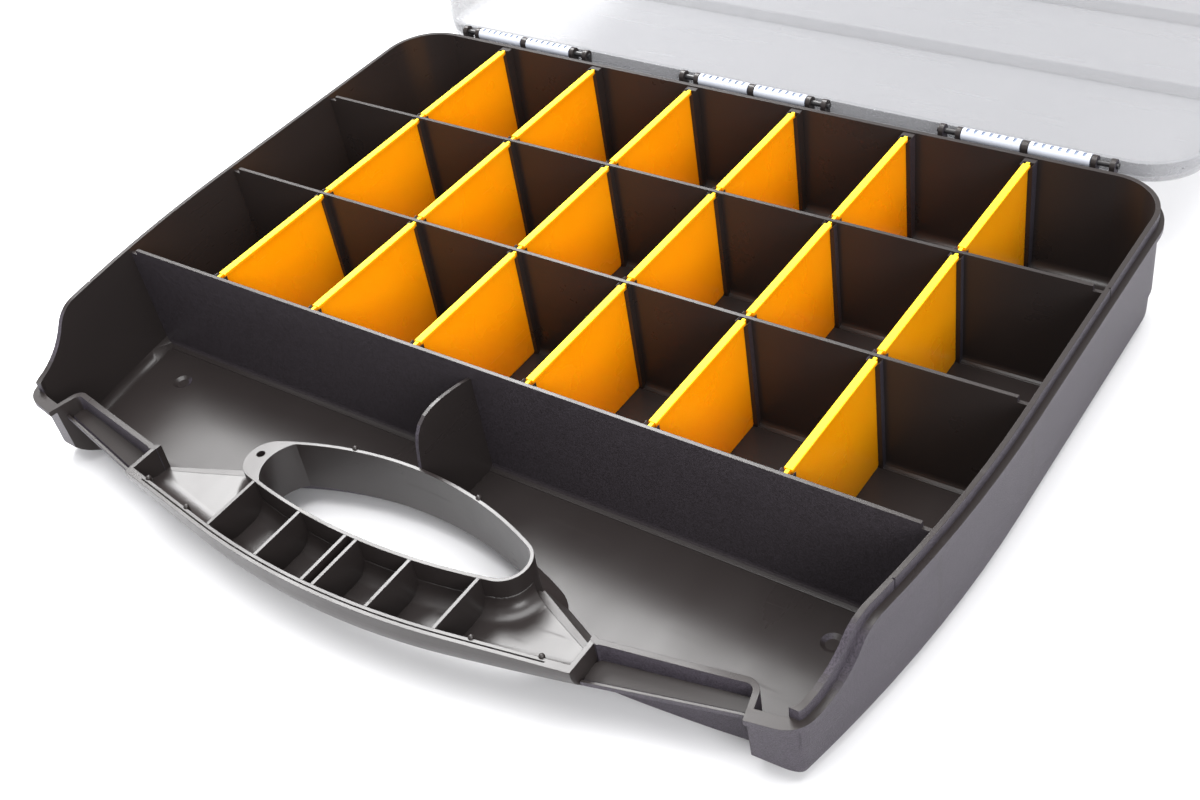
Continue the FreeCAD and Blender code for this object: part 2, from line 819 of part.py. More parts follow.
def pad(body, name, sketch, length, midplane=False, reverse=False):
    made = body.newObject("PartDesign::Pad", name)
    made.Profile = sketch
    made.Midplane = midplane
    made.Reversed = reverse
    made.setExpression("Length", length)
    sketch.Visibility = False
    return made


def partition_body(name, both_faces):
    """A cross wall with a flared root and six pairs of divider guides, on one face or on both."""
    body = new_body(name + "_blank")
    half = value("partition_thickness") / 2
    root = value("partition_root")
    floor = value("foot_height") + value("floor_thickness")
    top = value("lip_top")
    flare = []
    for step in range(5):
        angle = math.pi / 2 * step / 4
        flare.append((half + root * (1 - math.sin(angle)), floor + root * (1 - math.cos(angle))))
    right = [(half + root, floor - 6.0)] + flare + [(half, top)]
    left = [(-y, z) for y, z in reversed(right)]
    section = body_sketch(body, name + "_section", "YZ_Plane", [right + left])
    pad(body, name + "_wall", section, "Dimensions.half_width * 2", midplane=True)
    guides = body_sketch(body, name + "_guides", "XZ_Plane", guide_loops(floor - 6.0))
    if both_faces:
        ribs = pad(body, name + "_ribs", guides,
                   "Dimensions.partition_thickness + Dimensions.guide_depth * 2", midplane=True)
    else:
        ribs = pad(body, name + "_ribs", guides,
                   "Dimensions.partition_thickness / 2 + Dimensions.guide_depth", reverse=True)
    repeat_guides(body, name, ribs)
    return body


def guide_loops(bottom):
    """A pair of guide ribs either side of the leftmost divider, cut to a V at the top."""
    inner = value("guide_gap") / 2
    outer = inner + value("guide_width")
    top = value("lip_top") - 0.6
    lead = top - value("guide_lead")
    middle = -2.5 * value("cell_pitch")
    right = [(inner, bottom), (outer, bottom), (outer, top), (inner, lead)]
    pair = [[(middle + x, z) for x, z in right], [(middle - x, z) for x, z in reversed(right)]]
    return pair


def repeat_guides(body, name, ribs):
    DOCUMENT.recompute()
    pattern = body.newObject("PartDesign::LinearPattern", name + "_pattern")
    pattern.Originals = [ribs]
    axis = [item for item in body.Origin.OriginFeatures if item.Role == "X_Axis"][0]
    pattern.Direction = (axis, [""])
    pattern.Occurrences = 6
    pattern.setExpression("Length", "Dimensions.cell_pitch * 5")
    body.Tip = pattern
    return pattern


def partition(name, depth_name, sign, half_inner, room):
    """The cross wall trimmed to the inside of the tub, with its ends stepped down at the walls."""
    body = partition_body(name, sign > 0)
    body.Placement = FreeCAD.Placement(VECTOR(0, sign * value(depth_name), 0), FreeCAD.Rotation())
    steps = DOCUMENT.addObject("Part::MultiFuse", name + "_end_steps")
    ends = []
    for side, label in ((-1, "left"), (1, "right")):
        step = DOCUMENT.addObject("Part::Box", name + "_step_" + label)
        start = half_inner - value("partition_step_length")
        bind(step, Length="Dimensions.partition_step_length + 10", Width="20",
             Height="Dimensions.partition_step + 5")
        corner_x = start if side > 0 else -start - value("partition_step_length") - 10.0
        step.Placement = FreeCAD.Placement(
            VECTOR(corner_x, sign * value(depth_name) - 10.0, value("lip_top") - value("partition_step")),
            FreeCAD.Rotation())
        ends.append(step)
    steps.Shapes = ends
    trimmed = DOCUMENT.addObject("Part::Common", name + "_trimmed")
    trimmed.Base = body
    trimmed.Tool = room
    stepped = DOCUMENT.addObject("Part::Cut", name)
    stepped.Base = trimmed
    stepped.Tool = steps
    stepped.Label = name
    return stepped


def rear_guides(room):
    """Guides for the rear row, on pads that stand out from the back wall."""
    name = "rear_wall_divider_guides"
    body = new_body(name + "_blank")
    floor = value("foot_height") + value("floor_thickness")
    guides = body_sketch(body, name + "_pair", "XZ_Plane", guide_loops(floor - 6.0))
    ribs = pad(body, name + "_ribs", guides, "Dimensions.guide_depth + Dimensions.rear_guide_base + 6")
    repeat_guides(body, name, ribs)
    inner_rear = value("rear_depth") - value("wall_inset")
    front = inner_rear - value("guide_depth") - value("rear_guide_base")
    bases = []
    for index in range(6):
        x = (index - 2.5) * value("cell_pitch")
        reach = value("guide_gap") / 2 + value("guide_width")
        bases.append(box(x - reach, x + reach, front + value("guide_depth"), inner_rear + 4.0,
                         floor - 6.0, value("lip_top") - 0.6))
    back = feature(name + "_pads", Part.makeCompound(bases))
    body.Placement = FreeCAD.Placement(VECTOR(0, inner_rear + 6.0, 0), FreeCAD.Rotation())
    joined = DOCUMENT.addObject("Part::Fuse", name + "_joined")
    joined.Base = body
    joined.Tool = back
    trimmed = DOCUMENT.addObject("Part::Common", name)
    trimmed.Base = joined
    trimmed.Tool = room
    trimmed.Label = name
    return trimmed


def half_partition(room, cross_wall):
    """The short fore-and-aft wall from the front partition to the finger opening."""
    name = "front_half_partition"
    body = new_body(name + "_blank")
    near = -value("partition_front") - value("partition_thickness") / 2
    floor = value("foot_height")
    crest = [
        (near, 57.9), (near - 6.0, 59.6), (near - 13.0, 61.0), (near - 20.0, 61.9), (near - 26.0, 62.0),
        (near - 31.0, 61.0), (near - 35.0, 58.6), (near - 37.6, 55.0), (near - 39.2, 50.0),
        (near - 40.2, 44.0), (near - 40.9, 38.8), (near - 41.4, 38.8),
    ]
    loop = [(near, floor)] + crest + [(near - 41.4, floor)]
    profile = body_sketch(body, name + "_profile", "YZ_Plane", [loop])
    pad(body, name + "_pad", profile, "Dimensions.partition_thickness", midplane=True)
    trimmed = DOCUMENT.addObject("Part::Common", name + "_trimmed")
    trimmed.Base = body
    trimmed.Tool = room
    fitted = DOCUMENT.addObject("Part::Cut", name)
    fitted.Base = trimmed
    fitted.Tool = cross_wall
    fitted.Label = name
    return fitted


def divider(name, x, y):
    """A yellow divider: a thin panel with chamfered lower corners under a bright flange."""
    body = new_body(name)
    top = value("lip_top")
    bottom = value("foot_height") + value("floor_thickness") + value("divider_floor_gap")
    half = value("divider_length") / 2
    corner = value("divider_corner")
    panel = [
        (-half + corner, bottom), (half - corner, bottom), (half, bottom + corner), (half, top - 0.4),
        (-half, top - 0.4), (-half, bottom + corner),
    ]
    web = body_sketch(body, name + "_panel", "YZ_Plane", [panel])
    pad(body, name + "_web", web, "Dimensions.divider_thickness", midplane=True)
    flange = value("divider_flange_width") / 2
    flange_top = body_sketch(body, name + "_flange", "XZ_Plane", [[
        (-flange, top - value("divider_flange_depth")), (flange, top - value("divider_flange_depth")),
        (flange, top - 0.3), (flange - 0.3, top), (-flange + 0.3, top), (-flange, top - 0.3),
    ]])
    pad(body, name + "_cap", flange_top, "Dimensions.divider_flange_length", midplane=True)
    body.Placement = FreeCAD.Placement(VECTOR(x, y, 0), FreeCAD.Rotation())
    return body


# ---------------------------------------------------------------------------------------------
# Hinge


def along_x(radius, start, length):
    """A round bar on the hinge axis."""
    centre = VECTOR(start, value("hinge_y"), value("hinge_z"))
    return Part.makeCylinder(radius, length, centre, X_AXIS)


def knuckle_row(middle, tub):
    """Five knuckles: a pair at each end and one wide hook in the middle, on webs from the back wall."""
    radius = value("knuckle_radius")
    width = value("knuckle_width")
    inner = value("knuckle_inner")
    outer = value("knuckle_outer")
    wide = value("centre_knuckle_width")
    hinge_y = value("hinge_y")
    hinge_z = value("hinge_z")
    wall = value("rear_depth") - 4.6
    pieces = []
    for place, size in ((-outer, width), (-inner, width), (0.0, wide), (inner, width), (outer, width)):
        start = middle + place - size / 2
        web = Part.makePolygon([
            yz(wall, 47.0), yz(wall, 60.0), yz(hinge_y - radius, 61.8), yz(hinge_y - radius, hinge_z),
            yz(hinge_y + radius, hinge_z), yz(hinge_y + radius * 0.6, 57.0), yz(183.0, 47.0), yz(wall, 47.0),
        ])
        face = Part.Face(web)
        face.translate(VECTOR(start, 0, 0))
        pieces.append(along_x(radius, start, size).fuse(face.extrude(VECTOR(size, 0, 0))))
    row = pieces[0].multiFuse(pieces[1:])
    tie = box(middle - outer - width / 2, middle + outer + width / 2, wall, 183.0, 47.0, 55.0)
    row = row.fuse(tie)
    row = row.cut(along_x(value("pin_radius"), middle - 60.0, 120.0))
    return row.cut(tub).removeSplitter()


def hinge_pin(name, middle):
    """A plain round pin through the five knuckles."""
    pin = DOCUMENT.addObject("Part::Cylinder", name)
    pin.Label = name
    bind(pin, Radius="Dimensions.pin_radius", Height="Dimensions.pin_length")
    start = middle - value("pin_length") / 2
    pin.Placement = FreeCAD.Placement(VECTOR(start, value("hinge_y"), value("hinge_z")),
                                      FreeCAD.Rotation(VECTOR(0, 1, 0), 90))
    return pin


def hinge_barrel(middle, side, lid):
    """A white barrel of the lid between two knuckles, notched along the side that shows when open."""
    gap = value("barrel_gap")
    near = value("centre_knuckle_width") / 2 + gap
    far = value("knuckle_inner") - value("knuckle_width") / 2 - gap
    length = far - near
    start = middle + near if side > 0 else middle - far
    radius = value("knuckle_radius")
    tail = box(start, start + length, value("hinge_y") - radius - 2.0, value("hinge_y"),
               value("hinge_z") + 0.4, value("hinge_z") + radius)
    barrel = along_x(radius, start, length).fuse(tail)
    pitch = length / (value("barrel_notch_count") + 0.5)
    depth = value("barrel_notch_depth")
    width = value("barrel_notch_width")
    for index in range(int(value("barrel_notch_count"))):
        left = start + pitch * (index + 0.5)
        barrel = barrel.cut(box(left, left + width, value("hinge_y") - 1.0, value("hinge_y") + radius,
                                value("hinge_z") - radius, value("hinge_z") - radius + depth))
    barrel = barrel.cut(along_x(value("barrel_bore_radius"), start - 1.0, length + 2.0))
    return barrel.cut(lid).removeSplitter()


# ---------------------------------------------------------------------------------------------
# Lid, drawn closed


def lid_swing():
    """How far the lid stands open: turned about the hinge pins from its closed place."""
    centre = VECTOR(0, value("hinge_y"), value("hinge_z"))
    return FreeCAD.Placement(VECTOR(0, 0, 0), FreeCAD.Rotation(X_AXIS, -value("lid_open_angle")), centre)


def lid_side(drop):
    """Everything under the lid's top line, which curves down over the handle."""
    top = value("lid_top") - drop
    start = -value("lid_nose_start")
    radius = value("lid_nose_radius") - drop
    sweep = math.radians(52.0)
    centre_z = value("lid_top") - value("lid_nose_radius")
    middle = (start - radius * math.sin(sweep / 2), centre_z + radius * math.cos(sweep / 2))
    stop = (start - radius * math.sin(sweep), centre_z + radius * math.cos(sweep))
    far = 260.0
    edges = [
        Part.makeLine(yz(far, top), yz(start, top)),
        Part.Arc(yz(start, top), yz(*middle), yz(*stop)).toShape(),
        Part.makeLine(yz(*stop), yz(stop[0], -20.0)),
        Part.makeLine(yz(stop[0], -20.0), yz(far, -20.0)),
        Part.makeLine(yz(far, -20.0), yz(far, top)),
    ]
    return across(Part.Wire(edges), 300.0)


def lid_shell():
    """The translucent lid: top plate, walls down to the ledge, handle half and opening wall."""
    ledge = value("lip_top") - value("lip_rise")
    top = value("lid_top")
    skin = value("lid_skin")
    body = tapered(outline(0.0), ledge, outline(value("lid_draft")), top)
    body = body.makeFillet(value("lid_rounding"), edges_at_height(body, top))
    body = body.fuse(prism(outline(0.0), 30.0, ledge))
    body = body.common(lid_side(0.0))
    wall = value("lid_wall")
    room = tapered(outline(wall), ledge, outline(wall + value("lid_draft")), top - skin)
    room = room.makeFillet(value("lid_rounding") - skin, edges_at_height(room, top - skin))
    room = room.fuse(prism(outline(wall), 20.0, ledge))
    room = room.common(lid_side(skin))
    room = room.cut(both_recesses(skin))
    room = room.cut(prism(lens(0.0), 0.0, 120.0))
    body = body.cut(both_recesses())
    body = body.cut(room)
    body = body.cut(prism(finger_hole(), 0.0, 120.0))
    gap = value("lid_gap")
    body = body.cut(rim_profile(ledge + gap, value("ledge_lead")))
    body = body.cut(box(-300, 300, value("lid_relief_start"), 300, 0, value("lid_relief_top")))
    return body.removeSplitter()


def lid_rib(name, depth, room_half):
    """A rib under the lid that comes down to a partition and keeps small parts in their row."""
    rib = DOCUMENT.addObject("Part::Box", name)
    rib.Label = name
    bind(rib, Width="Dimensions.lid_rib_thickness",
         Height="Dimensions.lid_top - Dimensions.lid_skin - Dimensions.lip_top - Dimensions.lid_rib_gap")
    rib.Length = 2 * room_half
    rib.Placement = lid_swing().multiply(FreeCAD.Placement(
        VECTOR(-room_half, depth - value("lid_rib_thickness") / 2, value("lip_top") + value("lid_rib_gap")),
        FreeCAD.Rotation()))
    return rib


# ---------------------------------------------------------------------------------------------
# Latches, drawn closed in the frame of their recess


def latch_axis_place():
    return (value("latch_pivot_reach"), value("latch_pivot_height"))


def latch_shape():
    """A latch plate with a hook under the catch and a barrel round its pin."""
    half = value("latch_width") / 2
    pivot_y, pivot_z = latch_axis_place()
    near = -0.5
    far = near - value("latch_thickness")
    top = (value("shelf_top_inner") + value("shelf_top_outer")) / 2
    bottom = top - value("shelf_depth")
    hook = Part.makePolygon([
        yz(near, pivot_z + 3.0), yz(near, top - 2.6), yz(near + 2.2, top - 5.2), yz(near + 3.2, bottom + 1.2),
        yz(near + 3.2, bottom), yz(far + 1.0, bottom), yz(far, bottom + 1.4), yz(far, pivot_z + 1.0),
        yz(far + 1.2, pivot_z + 3.0), yz(near, pivot_z + 3.0),
    ])
    plate = across(hook, half)
    neck = Part.makePolygon([
        yz(near - 0.5, pivot_z + 2.6), yz(pivot_y, pivot_z + 2.6), yz(pivot_y, pivot_z - 2.0),
        yz(near - 0.5, pivot_z - 2.0), yz(near - 0.5, pivot_z + 2.6),
    ])
    start = VECTOR(-half, pivot_y, pivot_z)
    barrel = Part.makeCylinder(value("latch_barrel_radius"), 2 * half, start, X_AXIS)
    bore = Part.makeCylinder(value("latch_bore_radius"), 2 * half, start, X_AXIS)
    latch = plate.fuse(across(neck, half)).fuse(barrel)
    lift = box(-half + 6.0, half - 6.0, far - 2.2, far + 0.5, bottom + 1.4, bottom + 3.2)
    latch = latch.fuse(lift).cut(bore)
    return latch.removeSplitter()


def latch_swing():
    pivot_y, pivot_z = latch_axis_place()
    return FreeCAD.Placement(VECTOR(0, 0, 0), FreeCAD.Rotation(X_AXIS, -value("latch_open_angle")),
                             VECTOR(0, pivot_y, pivot_z))


def latch_ears(side, lid):
    """Two lugs on the lid that hold the latch's pin."""
    half = value("latch_width") / 2
    pivot_y, pivot_z = latch_axis_place()
    thick = value("latch_ear_thickness")
    radius = value("latch_barrel_radius")
    ears = []
    for start in (-half - 0.4 - thick, half + 0.4):
        block = box(start, start + thick, pivot_y, pivot_y + 14.0, pivot_z - radius, pivot_z + radius)
        ears.append(block.fuse(Part.makeCylinder(radius, thick, VECTOR(start, pivot_y, pivot_z), X_AXIS)))
    side_x = half + 0.4 + thick
    tie = box(-side_x, side_x, pivot_y + radius + 1.0, pivot_y + 14.0, pivot_z - radius, pivot_z + radius)
    pair = ears[0].multiFuse([ears[1], tie])
    bore = Part.makeCylinder(value("latch_pin_radius"), 100.0, VECTOR(-50, pivot_y, pivot_z), X_AXIS)
    pair = pair.cut(bore)
    pair.Placement = catch_frame(side)
    return pair.common(prism(recess_plan(side), 0.0, 120.0)).cut(lid)


def latch_pin(name, side):
    pin = DOCUMENT.addObject("Part::Cylinder", name)
    pin.Label = name
    pivot_y, pivot_z = latch_axis_place()
    length = value("latch_width") + 2 * value("latch_ear_thickness") + 0.8
    bind(pin, Radius="Dimensions.latch_pin_radius",
         Height="Dimensions.latch_width + Dimensions.latch_ear_thickness * 2 + 0.8")
    local = FreeCAD.Placement(VECTOR(-length / 2, pivot_y, pivot_z), FreeCAD.Rotation(VECTOR(0, 1, 0), 90))
    pin.Placement = lid_swing().multiply(catch_frame(side)).multiply(local)
    return pin


# ---------------------------------------------------------------------------------------------
# The assembly


def half_inner_width(depth):
    """Half the inside width at the lip, at one depth."""
    reach = value("half_width") - value("wall_inset")
    past = value("side_bow_start") - depth
    if past > 0:
        reach = reach - past ** 2 / (2 * value("side_bow_radius"))
    return reach


def build():
    parts = []
    room = feature("tray_space", tray_space())
    tub = feature("tray_shell", tray_shell(room.Shape))
    parts.append(tub)
    trough = feature("handle_space", handle_space())
    parts.append(feature("carry_handle_trough", handle_shell(trough.Shape)))
    parts.append(feature("finger_opening_frame", opening_frame()))
    for index, x in enumerate((-63.0, -31.0, -3.0, 3.0, 31.0, 63.0), start=1):
        slab = DOCUMENT.addObject("Part::Box", "grip_rib_blank_%d" % index)
        bind(slab, Length="Dimensions.rib_thickness", Width="80",
             Height="Dimensions.lip_top - Dimensions.lip_rise - Dimensions.front_drop")
        corner = VECTOR(x - value("rib_thickness") / 2, -200, 0)
        slab.Placement = FreeCAD.Placement(corner, FreeCAD.Rotation())
        rib = DOCUMENT.addObject("Part::Common", "grip_rib_%d" % index)
        rib.Base = slab
        rib.Tool = trough
        rib.Label = "grip_rib_%d" % index
        parts.append(rib)
    for side, label in ((-1, "left"), (1, "right")):
        parts.append(feature("catch_shelf_" + label, catch_shelf(side)))
    for label, depth_name, sign in (("rear", "partition_rear", 1), ("middle", "partition_middle", 1),
                                    ("front", "partition_front", -1)):
        half = half_inner_width(sign * value(depth_name))
        parts.append(partition("partition_" + label, depth_name, sign, half, room))
    parts.append(half_partition(room, parts[-1]))
    parts.append(rear_guides(room))
    for row, y in ROWS.items():
        for column in range(6):
            x = (column - 2.5) * value("cell_pitch")
            parts.append(divider("divider_%s_%d" % (row, column + 1), x, y))
    lid = lid_shell()
    swing = lid_swing()
    parts.append(feature("lid_shell", lid, swing))
    spacing = value("hinge_spacing")
    for label, middle in (("left", -spacing), ("centre", 0.0), ("right", spacing)):
        parts.append(feature("hinge_knuckles_" + label, knuckle_row(middle, tub.Shape)))
        parts.append(hinge_pin("hinge_pin_" + label, middle))
        for side, end in ((-1, "a"), (1, "b")):
            name = "hinge_barrel_%s_%s" % (label, end)
            parts.append(feature(name, hinge_barrel(middle, side, lid), swing))
    for label, depth in (("rear", value("partition_rear")), ("middle", value("partition_middle")),
                         ("front", -value("partition_front"))):
        parts.append(lid_rib("lid_rib_" + label, depth, half_inner_width(depth) - 0.5))
    for side, label in ((-1, "left"), (1, "right")):
        parts.append(feature("latch_ears_" + label, latch_ears(side, lid), swing))
        placed = swing.multiply(catch_frame(side)).multiply(latch_swing())
        parts.append(feature("latch_" + label, latch_shape(), placed))
        parts.append(latch_pin("latch_pin_" + label, side))
    return parts


def check(parts):
    DOCUMENT.recompute()
    for item in DOCUMENT.Objects:
        if "Invalid" in item.State or "Error" in item.State:
            raise RuntimeError("%s: %s" % (item.Name, item.State))
    for item in parts:
        if item.Shape.isNull() or not item.Shape.isValid():
            raise RuntimeError("%s has no valid shape" % item.Label)
    if len({item.Label for item in parts}) != len(parts):
        raise RuntimeError("two sub-parts share a name")


DOCUMENT = FreeCAD.newDocument("parts_sorting_tray")
SHEET = make_sheet(DOCUMENT)
PARTS = build()
check(PARTS)
os.makedirs("parts", exist_ok=True)
for item in PARTS:
    item.Shape.exportStep("parts/%s.step" % item.Label)
    box_size = item.Shape.BoundBox
    print("%-28s solids %d  %8.0f mm3  %6.1f x %6.1f x %6.1f" % (
        item.Label, len(item.Shape.Solids), item.Shape.Volume,
        box_size.XLength, box_size.YLength, box_size.ZLength))
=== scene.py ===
"""Looks of the parts sorting tray: moulded plastics, floor, studio light and camera."""

import json
import math

import bpy
from mathutils import Matrix, Vector


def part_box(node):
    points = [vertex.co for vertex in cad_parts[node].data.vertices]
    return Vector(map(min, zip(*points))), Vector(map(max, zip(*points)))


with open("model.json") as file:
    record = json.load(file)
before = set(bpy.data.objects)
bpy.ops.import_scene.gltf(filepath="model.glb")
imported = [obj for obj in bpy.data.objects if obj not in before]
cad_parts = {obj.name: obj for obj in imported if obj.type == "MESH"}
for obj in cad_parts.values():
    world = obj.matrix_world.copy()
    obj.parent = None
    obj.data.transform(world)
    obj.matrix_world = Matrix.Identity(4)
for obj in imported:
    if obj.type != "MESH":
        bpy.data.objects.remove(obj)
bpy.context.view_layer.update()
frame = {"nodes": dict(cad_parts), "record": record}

# Cross walls whose places show outside as faint lines.
CROSS_WALLS = ["partition_rear", "partition_middle", "partition_front"]

# Camera: where it stands, and how it is turned.
CAMERA_PLACE = Vector((0.39375, -0.4296, 0.4854))
CAMERA_AZIMUTH = math.radians(41.16)
CAMERA_ELEVATION = math.radians(40.27)
CAMERA_ROLL = math.radians(-10.56)
CAMERA_LENS = 46.8168
CAMERA_SENSOR = 36.0

FLOOR_RADIUS = 6.0
EDGE_RADIUS = 0.0003

# Black plastic in linear colours: satin inside, and the two tones of the texture on the outer walls. The
# handle and its finger opening are a little shinier than the tub.
SATIN_DARK = (0.0180, 0.0145, 0.0140, 1.0)
SATIN_LIGHT = (0.0260, 0.0215, 0.0210, 1.0)
TEXTURE_DARK = (0.018, 0.015, 0.020, 1.0)
TEXTURE_LIGHT = (0.062, 0.053, 0.068, 1.0)
SATIN_SPECULAR = 0.30
HANDLE_SPECULAR = 0.42

# Yellow plastic, deep and light, and a paler painted-light yellow for the upward faces, standing in for
# light falling on them from above.
DIVIDER_TONES = ((0.95, 0.33, 0.0, 1.0), (1.0, 0.39, 0.002, 1.0))
LATCH_TONES = ((0.93, 0.32, 0.0, 1.0), (0.98, 0.38, 0.002, 1.0))
YELLOW_PAINTED_TOP_LIGHT = (1.0, 0.72, 0.0, 1.0)
EDGE_ROUGHNESS = 0.62

# White barrels with painted blue-grey shade in their notches, black hinge pins, and the milky lid.
BARREL_TONES = ((0.60, 0.62, 0.66, 1.0), (0.70, 0.71, 0.73, 1.0))
NOTCH_PAINTED_SHADE = (0.22, 0.26, 0.36, 1.0)
PIN_TONES = ((0.010, 0.010, 0.011, 1.0), (0.026, 0.025, 0.026, 1.0))
LID_TONES = ((0.225, 0.227, 0.24, 1.0), (0.26, 0.262, 0.275, 1.0))
LID_OPACITY = 0.56
LID_RIB_OPACITY = 0.16

# Faint upright sink lines on the side walls: shallow dents, with painted shade along them.
SINK_WIDTH = 0.0022
SINK_PAINTED_SHADE = 0.35

# Noise lies mostly between these two numbers.
NOISE_LOW = 0.3
NOISE_HIGH = 0.7

FLOOR_TONE = (0.80, 0.80, 0.815, 1.0)
WHITE = (1.0, 1.0, 1.0, 1.0)
SURROUND_STRENGTH = 0.85
MIDDLE = (0.0, 0.0, 0.0)


# ---------------------------------------------------------------------------------------------
# Node helpers


class Nodes:
    """A material's node tree, with one short call for each kind of node that is needed."""

    def __init__(self, name):
        self.material = bpy.data.materials.new(name)
        self.material.use_nodes = True
        self.tree = self.material.node_tree
        self.shader = self.tree.nodes["Principled BSDF"]
        self.place = self.add("ShaderNodeTexCoord").outputs["Object"]

    def add(self, kind, **settings):
        node = self.tree.nodes.new(kind)
        for name, setting in settings.items():
            setattr(node, name, setting)
        return node

    def join(self, source, target):
        if isinstance(source, (int, float, tuple)):
            target.default_value = source
        else:
            self.tree.links.new(source, target)

    def noise(self, scale, detail=3.0, roughness=0.5, stretch=None):
        """Noise whose features are about one over scale in metres, stretched along each axis."""
        where = self.place
        if stretch is not None:
            mapping = self.add("ShaderNodeMapping")
            mapping.inputs["Scale"].default_value = stretch
            self.join(where, mapping.inputs["Vector"])
            where = mapping.outputs["Vector"]
        node = self.add("ShaderNodeTexNoise")
        self.join(where, node.inputs["Vector"])
        node.inputs["Scale"].default_value = scale
        node.inputs["Detail"].default_value = detail
        node.inputs["Roughness"].default_value = roughness
        return node.outputs["Fac"]

    def range(self, source, low, high, to_low, to_high):
        node = self.add("ShaderNodeMapRange")
        self.join(source, node.inputs["Value"])
        node.inputs["From Min"].default_value = low
        node.inputs["From Max"].default_value = high
        node.inputs["To Min"].default_value = to_low
        node.inputs["To Max"].default_value = to_high
        return node.outputs["Result"]

    def spread(self, noise, to_low, to_high):
        """Spread the usual values of a noise over the numbers from to_low to to_high."""
        return self.range(noise, NOISE_LOW, NOISE_HIGH, to_low, to_high)

    def mask(self, source, low, high):
        """0 up to low, 1 from high on."""
        return self.range(source, low, high, 0.0, 1.0)

    def streaks(self, scale, stretch, threshold):
        """1 along fine scratches that run the way the noise is stretched, and 0 between them."""
        noise = self.noise(scale, detail=2.0, stretch=stretch)
        return self.mask(noise, threshold, threshold + 0.08)

    def math(self, operation, first, second=0.0):
        node = self.add("ShaderNodeMath", operation=operation)
        self.join(first, node.inputs[0])
        self.join(second, node.inputs[1])
        return node.outputs["Value"]

    def mix_numbers(self, factor, first, second):
        node = self.add("ShaderNodeMix", data_type="FLOAT")
        self.join(factor, node.inputs["Factor"])
        self.join(first, node.inputs["A"])
        self.join(second, node.inputs["B"])
        return node.outputs["Result"]

    def mix_colours(self, factor, first, second):
        node = self.add("ShaderNodeMix", data_type="RGBA")
        colour_a = [socket for socket in node.inputs if socket.identifier == "A_Color"][0]
        colour_b = [socket for socket in node.inputs if socket.identifier == "B_Color"][0]
        result = [socket for socket in node.outputs if socket.identifier == "Result_Color"][0]
        self.join(factor, node.inputs["Factor"])
        self.join(first, colour_a)
        self.join(second, colour_b)
        return result

    def split(self, vector):
        node = self.add("ShaderNodeSeparateXYZ")
        self.join(vector, node.inputs["Vector"])
        return node.outputs

    def rounded_edges(self, radius):
        node = self.add("ShaderNodeBevel")
        node.samples = 4
        node.inputs["Radius"].default_value = radius
        return node.outputs["Normal"]

    def bump(self, height, distance, strength=1.0, normal=None):
        node = self.add("ShaderNodeBump")
        self.join(height, node.inputs["Height"])
        self.join(strength, node.inputs["Strength"])
        node.inputs["Distance"].default_value = distance
        if normal is not None:
            self.join(normal, node.inputs["Normal"])
        return node.outputs["Normal"]

    def set(self, **inputs):
        for name, source in inputs.items():
            self.join(source, self.shader.inputs[name.replace("_", " ")])


# ---------------------------------------------------------------------------------------------
# Materials


def outward_mask(nodes):
    """1 on walls that face away from the middle of the tray, 0 on its floor and inner walls."""
    geometry = nodes.add("ShaderNodeNewGeometry")
    normal = nodes.split(geometry.outputs["True Normal"])
    place = nodes.split(nodes.place)
    per_half_width = 4.0
    per_half_depth = 6.0
    out_x = nodes.math("MULTIPLY", normal["X"], nodes.math("MULTIPLY", place["X"], per_half_width))
    out_y = nodes.math("MULTIPLY", normal["Y"], nodes.math("MULTIPLY", place["Y"], per_half_depth))
    outward = nodes.math("ADD", out_x, out_y)
    below = nodes.math("MULTIPLY", normal["Z"], -1.0)
    return nodes.mask(nodes.math("MAXIMUM", outward, below), low=0.25, high=0.45)


def sink_lines(nodes):
    """Faint upright lines on the outer side walls, where the cross walls meet them inside."""
    along = nodes.split(nodes.place)["Y"]
    lines = 0.0
    for name in CROSS_WALLS:
        low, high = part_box(name)
        away = nodes.math("ABSOLUTE", nodes.math("SUBTRACT", along, (low.y + high.y) / 2))
        lines = nodes.math("ADD", lines, nodes.range(away, 0.0, SINK_WIDTH, 1.0, 0.0))
    return lines


